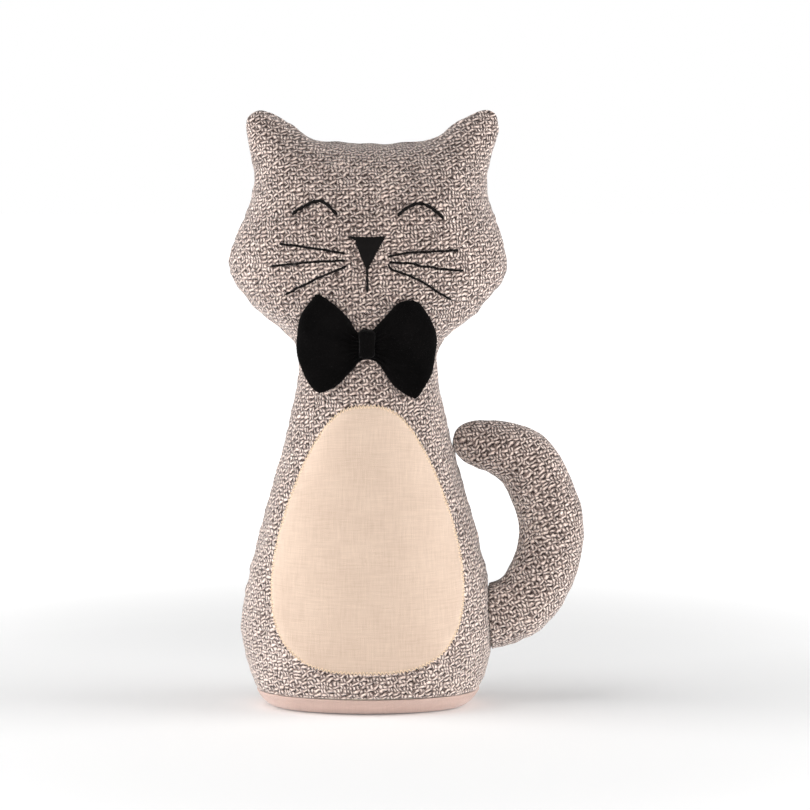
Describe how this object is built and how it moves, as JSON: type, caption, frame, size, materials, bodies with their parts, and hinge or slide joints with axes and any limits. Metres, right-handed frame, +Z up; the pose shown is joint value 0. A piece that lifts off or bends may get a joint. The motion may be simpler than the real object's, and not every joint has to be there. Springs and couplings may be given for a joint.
{
  "type": "cat door stop",
  "caption": "Stuffed tweed cat that sits as a weighted door stop, with a linen belly patch, stitched face, velvet bow tie and a curled side tail.",
  "frame": {"origin": "middle of the flat foot, on the floor", "axes": "+Z up; the cat looks along -Y; the tail is at +X"},
  "size_m": [0.178, 0.0967, 0.2979],
  "materials": {
    "tweed": "chunky grey-brown melange tweed",
    "linen": "plain cream linen",
    "base_cloth": "plain dusty pink cloth",
    "velvet": "black velvet",
    "black_thread": "satin embroidery thread",
    "cream_thread": "satin sewing thread",
    "wadding": "soft polyester fibre",
    "sack_cloth": "plain calico sack"
  },
  "bodies": {
    "root": {"front_panel": "tweed", "back_panel": "tweed", "tail_front_panel": "tweed", "tail_back_panel": "tweed", "base_panel": "base_cloth", "fibre_filling": "wadding", "tail_filling": "wadding", "weight_bag": "sack_cloth", "belly_patch": "linen", "belly_stitching": "cream_thread", "nose": "black_thread", "mouth": "black_thread", "left_eye": "black_thread", "right_eye": "black_thread", "left_whisker_upper": "black_thread", "left_whisker_middle": "black_thread", "left_whisker_lower": "black_thread", "right_whisker_upper": "black_thread", "right_whisker_middle": "black_thread", "right_whisker_lower": "black_thread", "bow_loop": "velvet", "bow_knot": "velvet"}
  },
  "joints": []
}
